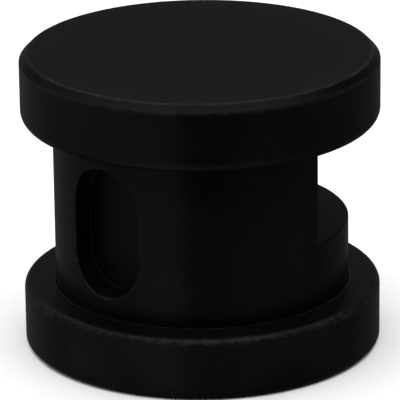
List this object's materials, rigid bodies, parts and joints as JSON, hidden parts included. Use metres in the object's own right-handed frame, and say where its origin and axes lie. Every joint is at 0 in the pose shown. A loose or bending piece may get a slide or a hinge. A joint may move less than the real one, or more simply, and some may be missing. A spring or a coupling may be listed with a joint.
{
  "type": "steam outlet head",
  "caption": "Wall-mounted steam outlet head: a thick round disc on a neck that is half cut away for the steam, with an oval oil pocket and a sliding trim flange.",
  "frame": {"origin": "centre of the back face, on the wall or on the surface that the part stands on", "axes": "+Z along the pipe's axis, out of the wall, towards the front disc; -Y is the side with the oil pocket, which faces up in use, and +Y is the open side that the steam leaves by"},
  "size_m": [0.06, 0.06, 0.0504],
  "materials": {
    "front_disc_coating": "turned brass under a satin black coating, edges slightly polished by handling",
    "neck_coating": "turned brass under a satin black coating, faint turning marks",
    "flange_coating": "turned brass under a satin black coating, edges slightly polished by handling",
    "gasket_rubber": "matte moulded rubber",
    "o_ring_rubber": "smooth nitrile rubber",
    "bushing_brass": "bare machined brass",
    "screw_steel": "bright stainless steel"
  },
  "bodies": {
    "head": {"neck": "neck_coating", "front_disc": "front_disc_coating", "inlet_bushing": "bushing_brass", "disc_screws": "screw_steel", "disc_lock_washers": "screw_steel"},
    "o_rings": {"o_ring_back": "o_ring_rubber", "o_ring_front": "o_ring_rubber"},
    "trim": {"flange": "flange_coating", "wall_gasket": "gasket_rubber"}
  },
  "joints": [
    {"name": "flange_slide", "type": "slide", "parent": "head", "child": "o_rings", "axis": [0, 0, 1], "range_m": [0, 0.0275]},
    {"name": "flange_turn", "type": "hinge", "parent": "o_rings", "child": "trim", "pos_m": [0, 0, 0], "axis": [0, 0, 1], "continuous": true}
  ]
}
